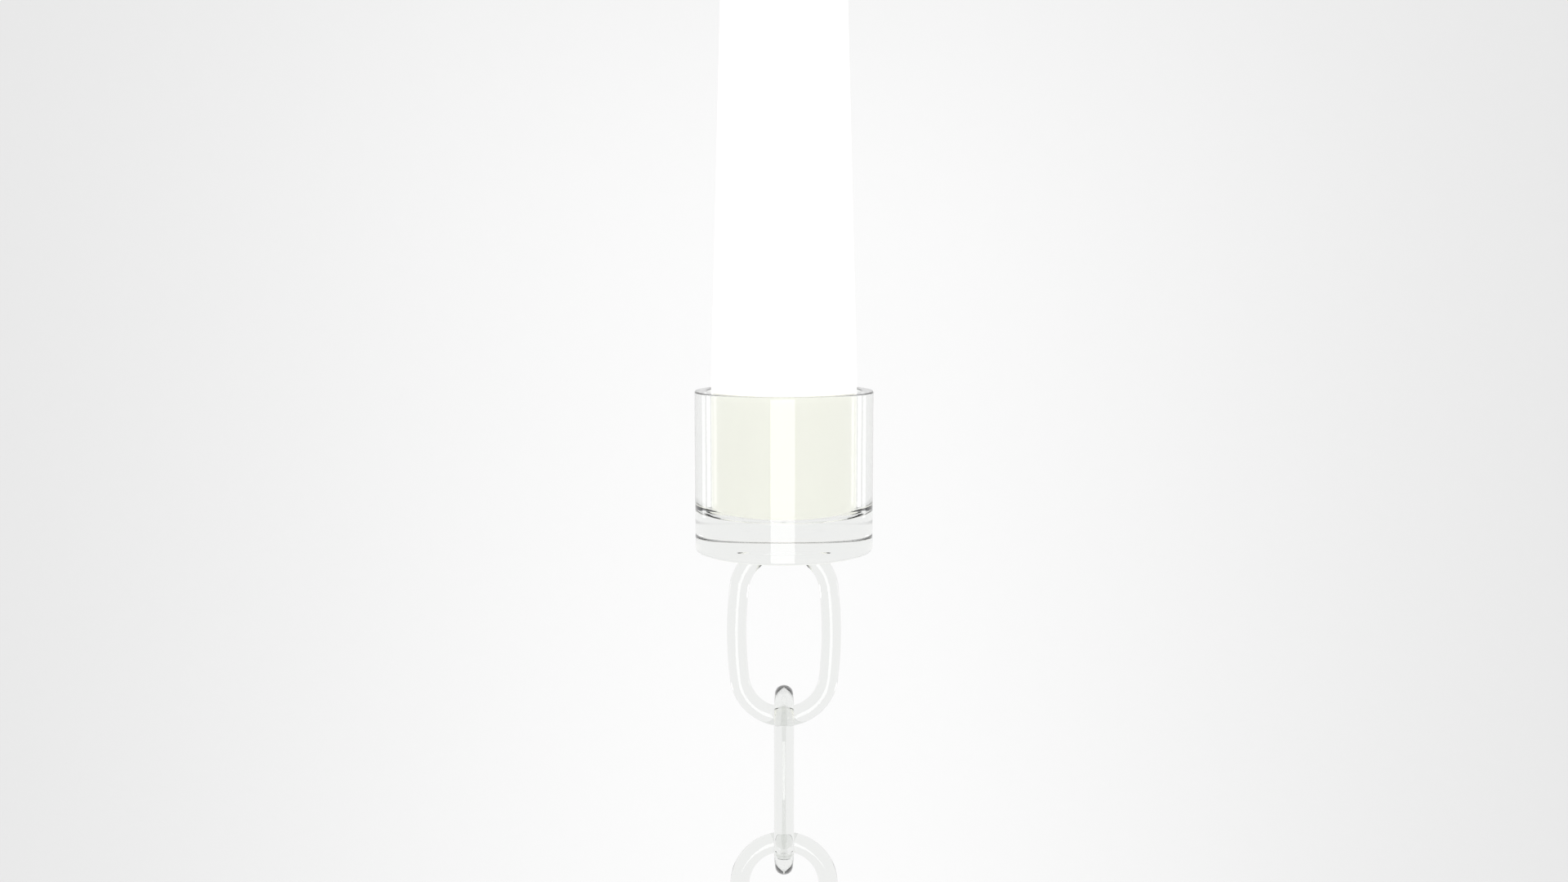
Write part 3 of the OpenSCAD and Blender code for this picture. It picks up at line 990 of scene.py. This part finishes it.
@dataclass
class Studio:
    """A pale seamless room with soft light, and the camera, in metres."""

    lens: float = 32.81
    sensor: float = 36.0
    eye: tuple[float, float, float] = (0.0, -0.4621, -0.30781)
    pitch_down: float = 6.6
    floor_z: float = -1.25
    wall_y: float = 2.2
    sweep_r: float = 0.9
    half_width: float = 4.5
    wall_top: float = 2.6
    front_y: float = -3.5
    air: float = 0.975
    cup_z: float = -0.37
    edge_angle: float = 56.0
    edge_reach: float = 1.3
    edge_size: tuple[float, float] = (0.20, 0.165)
    edge_z: float = -0.520
    edge_glow: float = 1.3
    key_size: tuple[float, float] = (0.648, 0.79)
    key_place: tuple[float, float, float] = (-0.036, -1.2, -0.53)
    key_aim: tuple[float, float, float] = (-0.036, 0, -0.53)
    key_watts: float = 3.6 * math.pi * 0.512
    wash_size: tuple[float, float] = (0.3, 0.3)
    wash_place: tuple[float, float, float] = (0.0, 0.56, -0.33)
    wash_aim: tuple[float, float, float] = (0.0, 2.2, -0.52)
    wash_watts: float = 7.8

    def camera(self) -> None:
        """Camera at eye height a little above the cup's rim."""
        data = bpy.data.cameras.new("camera")
        data.lens = self.lens
        data.sensor_width = self.sensor
        data.clip_start = 0.01
        data.clip_end = 50
        made = bpy.data.objects.new("camera", data)
        made.location = self.eye
        made.rotation_euler = (math.radians(90 - self.pitch_down), 0, 0)
        bpy.context.scene.collection.objects.link(made)
        bpy.context.scene.camera = made

    def backdrop(self) -> bpy.types.Object:
        """Room of seamless paper: floor, walls and ceiling run into each other in wide sweeps."""
        bm = bmesh.new()
        low = Vector((-self.half_width, self.front_y, self.floor_z))
        high = Vector((self.half_width, self.wall_y, self.wall_top))
        corners = bmesh.ops.create_cube(bm, size=1.0)["verts"]
        bmesh.ops.scale(bm, verts=corners, vec=high - low)
        bmesh.ops.translate(bm, verts=corners, vec=(low + high) / 2)
        bmesh.ops.bevel(
            bm, geom=bm.edges[:], offset=self.sweep_r, affect="EDGES", segments=24, profile=0.5, material=-1,
        )
        made = finished(bm, "backdrop", BACKDROP_PAPER)
        made.data.flip_normals()
        # Only the camera and the wash see the paper: the glass is lit as if it stood in open air
        made.visible_glossy = False
        made.visible_transmission = False
        made.visible_diffuse = False
        made.visible_shadow = False
        return made

    def panel(
        self, name: str, size: tuple[float, float], place: tuple[float, float, float],
        aim: tuple[float, float, float], power: float,
    ) -> bpy.types.Object:
        """Soft rectangular light that the camera doesn't see.

        Args:
            name: name of the light.
            size: width and height.
            place: where it stands.
            aim: point that it faces.
            power: its power in watts, which is its radiance times pi times its area.

        Returns:
            The light.
        """
        data = bpy.data.lights.new(name, "AREA")
        data.shape = "RECTANGLE"
        data.size, data.size_y = size
        data.energy = power
        made = bpy.data.objects.new(name, data)
        made.location = place
        made.rotation_euler = (Vector(aim) - Vector(place)).to_track_quat("-Z", "Y").to_euler()
        made.visible_camera = False
        bpy.context.scene.collection.objects.link(made)
        return made

    def edge_lights(self, cup: bpy.types.Object) -> None:
        """Two narrow panels behind the cup that draw a bright line inside each side of its wall.

        Args:
            cup: the only piece that they light.
        """
        only = bpy.data.collections.new("cup_only")
        only.objects.link(cup)
        angle = math.radians(self.edge_angle)
        out, back = self.edge_reach * math.sin(angle), self.edge_reach * math.cos(angle)
        power = self.edge_glow * math.pi * self.edge_size[0] * self.edge_size[1]
        for side in (-1, 1):
            place = (side * out, back, self.edge_z)
            strip = self.panel(f"edge_{side:+d}", self.edge_size, place, (0, 0, self.cup_z), power)
            strip.light_linking.receiver_collection = only
            log.info("studio: %s", strip.name)

    def build(self) -> None:
        """Sets up the room, its light and the camera."""
        scene = bpy.context.scene
        scene.view_settings.view_transform = "Standard"
        # Clear glass passes light on many times before it leaves
        scene.cycles.max_bounces = 12
        scene.cycles.transmission_bounces = 12
        scene.cycles.glossy_bounces = 4
        self.camera()
        paper = self.backdrop()
        world = bpy.data.worlds.new("air")
        world.use_nodes = True
        world.node_tree.nodes.clear()
        glow = node(world.node_tree, "Background", {"Color": (1, 1, 1, 1), "Strength": self.air})
        node(world.node_tree, "OutputWorld", {"Surface": glow.outputs[0]})
        scene.world = world
        key = self.panel("key", self.key_size, self.key_place, self.key_aim, self.key_watts)
        key.visible_transmission = False
        wash = self.panel("wall_wash", self.wash_size, self.wash_place, self.wash_aim, self.wash_watts)
        wash.visible_glossy = False
        wash.visible_transmission = False
        only = bpy.data.collections.new("paper_only")
        only.objects.link(paper)
        wash.light_linking.receiver_collection = only
        log.info("studio: %s, %s", key.name, wash.name)


def dress_inner(frame: dict) -> None:
    """Gives each inner CAD node its finish.

    Args:
        frame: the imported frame.
    """
    for name, finish in INNER_FINISHES.items():
        piece = frame["nodes"][name]
        piece.data.materials.clear()
        piece.data.materials.append(finish.material())
        log.info("%s: %s", name, finish.name)


def main() -> None:
    """Builds the lamp and the studio in order."""
    logging.basicConfig(level=logging.INFO, format="%(message)s")
    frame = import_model()
    studio = Studio()
    studio.build()
    HungCap().build()
    LitTube().build()
    studio.edge_lights(GlassChain().build())
    dress_inner(frame)


if __name__ == "__main__":
    main()
